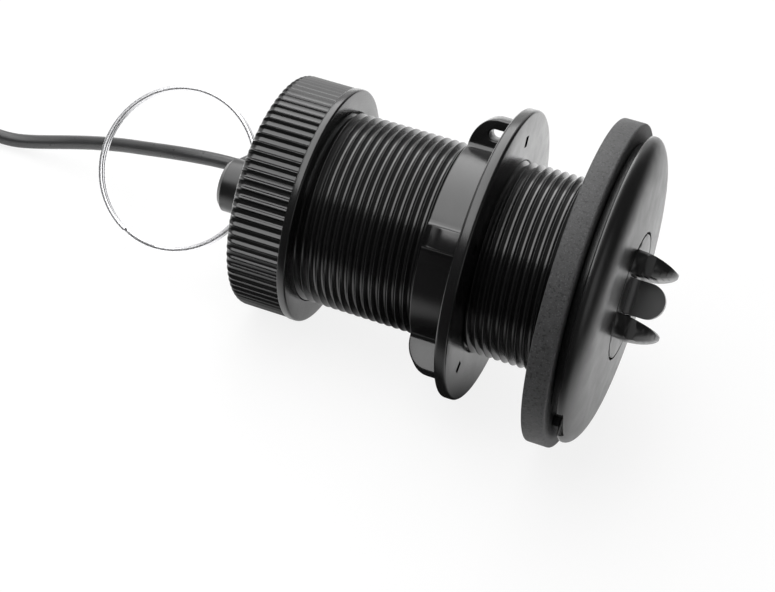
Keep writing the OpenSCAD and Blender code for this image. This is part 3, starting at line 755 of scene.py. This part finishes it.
def make_cable():
    curve = bpy.data.curves.new("cable", "CURVE")
    curve.dimensions = "3D"
    curve.bevel_depth = CABLE_D / 2
    curve.bevel_resolution = 3
    curve.resolution_u = 3
    curve.use_fill_caps = True
    points = [*CABLE_RUN, *coil_points(), *CABLE_TAIL]
    spline = curve.splines.new("BEZIER")
    spline.bezier_points.add(len(points) - 1)
    for knot, (x, y, height) in zip(spline.bezier_points, points):
        knot.co = (x, y, FLOOR_Z + height)
        knot.handle_left_type = knot.handle_right_type = "AUTO"
    piece = bpy.data.objects.new("cable", curve)
    bpy.context.collection.objects.link(piece)
    curve.materials.append(JACKET)
    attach(piece, "transducer")
    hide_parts("cable_tube", "cable_coil", "cable_tail")
    return piece


# Camera
CAMERA_AT = Vector((0.03070, -0.32065, 0.23259))
CAMERA_AZIMUTH, CAMERA_ELEVATION, CAMERA_ROLL = 12.09, 38.06, 16.14
IMAGE_W, FOCAL_PX, SENSOR_W = 775, 1900, 36.0


def make_camera():
    data = bpy.data.cameras.new("camera")
    data.sensor_fit = "HORIZONTAL"
    data.sensor_width = SENSOR_W
    data.lens = SENSOR_W * FOCAL_PX / IMAGE_W
    data.clip_start = 0.01
    camera = bpy.data.objects.new("camera", data)
    bpy.context.collection.objects.link(camera)
    camera.matrix_world = (
        Matrix.Translation(CAMERA_AT)
        @ Matrix.Rotation(math.radians(CAMERA_AZIMUTH), 4, "Z")
        @ Matrix.Rotation(math.radians(90 - CAMERA_ELEVATION), 4, "X")
        @ Matrix.Rotation(math.radians(CAMERA_ROLL), 4, "Z")
    )
    bpy.context.scene.camera = camera


# Softboxes, in metres and watts: place, the point that it faces, size and power
SOFTBOXES = {
    "overhead": ((-0.31, 0.14, 0.55), (-0.31, 0.14, 0.0), (0.5, 1.6), 8.7),
    "side": ((0.75, -0.2, 0.22), (0.0, 0.0, 0.0), (0.6, 0.5), 0.7),
}


def make_lights():
    for name, (at, towards, size, power) in SOFTBOXES.items():
        data = bpy.data.lights.new(name, "AREA")
        data.shape = "RECTANGLE"
        data.size, data.size_y = size
        data.energy = power
        lamp = bpy.data.objects.new(name, data)
        bpy.context.collection.objects.link(lamp)
        lamp.location = at
        lamp.rotation_euler = (Vector(towards) - Vector(at)).to_track_quat("-Z", "Y").to_euler()


# The room: a dim fill, white for the camera, and white where the part mirrors what is behind it on the
# cable's side
ROOM_FILL, ROOM_MIRRORED = 0.08, 0.9
ROOM_BEHIND = (0.4, 0.9)


def make_world():
    world = bpy.data.worlds.new("studio")
    bpy.context.scene.world = world
    world.use_nodes = True
    tree = world.node_tree
    sock = Sock(tree)
    seen = sock.node("LightPath", out="Is Camera Ray")
    mirrored = sock.node("LightPath", out="Is Glossy Ray")
    way = sock.node("TexCoord", out="Generated")
    behind = rise(sock, along(sock, way, "Y") - along(sock, way, "X"), *ROOM_BEHIND)
    strength = seen * (1 - ROOM_FILL) + ROOM_FILL + mirrored * behind * ROOM_MIRRORED
    background = tree.nodes["Background"]
    background.inputs["Color"].default_value = neutral(1.0)
    tree.links.new(strength.socket, background.inputs["Strength"])


# The table: its half width and its drop under the part in metres, its finish, and its tones and glow for
# the camera, for reflections and for bounced light. For reflections its dark tone is painted shade and its
# glow is painted light
TABLE_HALF, TABLE_DROP = 3.0, 0.00005
TABLE_ROUGH, TABLE_SPECULAR = 0.9, 0.1
TONE_SEEN, TONE_BOUNCED, PAINTED_SHADE_TONE, TONE_BEHIND = [neutral(tone) for tone in (0.15, 0.7, 0.05, 0.95)]
GLOW_NEAR, GLOW_FAR, PAINTED_REFLECTION_GLOW = 0.86, 1.0, 0.6
# Where its reflection turns from painted shade to white, going back, from white to painted shade past the
# outboard end, and clear of the painted shadow under the hull nut. Then where its own glow turns from near
# to far
BACK_EDGE, END_EDGE, SHADE_EDGE, FAR_EDGE = (-0.06, -0.03), (0.05, 0.14), (0.014, 0.03), (0.4, 1.2)
SHADE_AT = (-0.022, -0.02, FLOOR_Z)


def table_white():
    """White with the part's shadow for the camera. Mirrored in the part, it is white and glows with painted
    light only behind it, and shows painted shade in front, past the outboard end and under the hull nut.
    """
    made = bpy.data.materials.new("table_white")
    made.use_nodes = True
    tree = made.node_tree
    shader = tree.nodes["Principled BSDF"]
    shader.inputs["Roughness"].default_value = TABLE_ROUGH
    shader.inputs["Specular IOR Level"].default_value = TABLE_SPECULAR
    shader.inputs["Emission Strength"].default_value = 1.0
    sock = Sock(tree)
    seen = sock.node("LightPath", out="Is Camera Ray")
    mirrored = sock.node("LightPath", out="Is Glossy Ray")
    bounced = sock.node("LightPath", out="Is Diffuse Ray")
    place = sock.node("TexCoord", out="Object")
    behind = rise(sock, along(sock, place, "Y"), *BACK_EDGE)
    beyond = rise(sock, along(sock, place, "X"), *END_EDGE)
    from_shade = sock.node("VectorMath", {"operation": "DISTANCE"}, {0: place, 1: SHADE_AT}, out="Value")
    # Painted reflection: 1 where the mirrored table is white, 0 where it carries painted shade, with the
    # painted shadow under the hull nut
    white = behind * (1.0 - beyond) * rise(sock, from_shade, *SHADE_EDGE)
    painted_reflection = blend_colour(sock, white, PAINTED_SHADE_TONE, TONE_BEHIND)
    base = blend_colour(sock, bounced, blend_colour(sock, mirrored, TONE_SEEN, painted_reflection), TONE_BOUNCED)
    from_part = sock.node("VectorMath", {"operation": "LENGTH"}, {0: place}, out="Value")
    far = rise(sock, from_part, *FAR_EDGE)
    # Mirrored in the part, the table behind it glows with painted light
    glow = seen * (GLOW_NEAR + (GLOW_FAR - GLOW_NEAR) * far) + mirrored * white * PAINTED_REFLECTION_GLOW
    shown = blend_colour(sock, glow, neutral(0.0), neutral(1.0))
    tree.links.new(base.socket, shader.inputs["Base Color"])
    tree.links.new(shown.socket, shader.inputs["Emission Color"])
    return made


def make_table():
    bm = bmesh.new()
    bmesh.ops.create_grid(bm, x_segments=2, y_segments=2, size=TABLE_HALF)
    bmesh.ops.translate(bm, verts=bm.verts, vec=(0, 0, FLOOR_Z - TABLE_DROP))
    mesh = bpy.data.meshes.new("table")
    bm.to_mesh(mesh)
    bm.free()
    mesh.materials.append(table_white())
    table = bpy.data.objects.new("table", mesh)
    bpy.context.collection.objects.link(table)


def dress_nodes():
    """Finishes the solids that stay as they are."""
    finishes = {
        NOSE_BLACK: ("end_cover", "valve_sleeve", "valve_flap"),
        PADDLE_PAINTED_LIGHT: ("paddlewheel",),
        STEEL: ("wheel_axle", "flap_pin"),
        SEAL: ("nose_o_rings", "head_o_ring"),
        MAGNET: ("wheel_magnets",),
        BOARD: ("circuit_board",),
        CHIP: ("speed_sensor",),
        POTTING: ("potting",),
        BOOT: ("strain_relief",),
        TIE: ("coil_tie",),
        PLUG: ("connector_body",),
        GOLD: ("contact_pins",),
    }
    for material, names in finishes.items():
        for name in names:
            mesh = nodes[name].data
            mesh.materials.clear()
            mesh.materials.append(material)


make_camera()
make_cable()
make_housing()
make_flange_ring()
make_hull_nut()
make_cap_nut()
make_insert()
make_pull_ring()
dress_nodes()
make_lights()
make_world()
make_table()
bpy.context.scene.view_settings.view_transform = "Standard"
